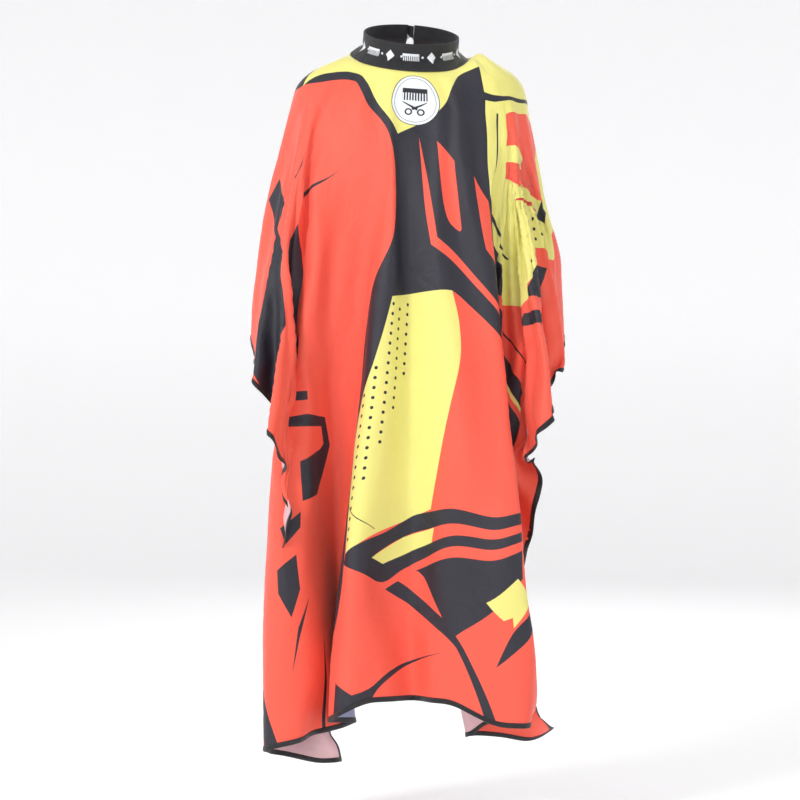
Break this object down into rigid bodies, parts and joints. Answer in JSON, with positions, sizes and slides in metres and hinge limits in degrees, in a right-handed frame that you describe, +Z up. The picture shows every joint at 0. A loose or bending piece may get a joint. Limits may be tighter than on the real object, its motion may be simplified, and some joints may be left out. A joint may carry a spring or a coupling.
{
  "type": "barber cape",
  "caption": "Printed polyester cutting cape with bound edges and a standing neck band that closes at the back of the neck with snaps, hanging as if worn.",
  "frame": {"origin": "centre of the neck opening, on its axis, half way up the upright part of the neck band", "axes": "+Z up, the front of the cape faces -Y, +X to the wearer's left"},
  "size_m": [0.5802, 0.4324, 1.3423],
  "materials": {
    "printed_polyester": "smooth plain-weave polyester with a soft sheen, printed on the outside",
    "binding_tape": "woven bias tape",
    "neckband_fabric": "matt plain weave",
    "interlining": "bonded fibre sheet",
    "snap_cap": "satin black",
    "snap_steel": "nickel plated"
  },
  "bodies": {
    "cape": {"cape_cloth": "printed_polyester", "hem_binding_front": "binding_tape", "hem_binding_left": "binding_tape", "hem_binding_right": "binding_tape", "hem_binding_back_left": "binding_tape", "hem_binding_back_right": "binding_tape", "opening_binding_left": "binding_tape", "opening_binding_right": "binding_tape", "neckband_outer": "neckband_fabric", "neckband_interlining": "interlining", "neckband_lining": "neckband_fabric", "neck_seam_tape": "binding_tape", "snap_studs": "snap_steel", "snap_prong_rings": "snap_steel"},
    "closure_tab": {"closure_tab_outer": "neckband_fabric", "closure_tab_interlining": "interlining", "closure_tab_lining": "neckband_fabric", "snap_caps": "snap_cap", "snap_sockets": "snap_steel"}
  },
  "joints": [
    {"name": "closure_tab_hinge", "type": "hinge", "parent": "cape", "child": "closure_tab", "pos_m": [0.00585, 0.08147, 0.03247], "axis": [-0.0698, 0.3737, -0.9249], "range_deg": [0, 100]}
  ]
}
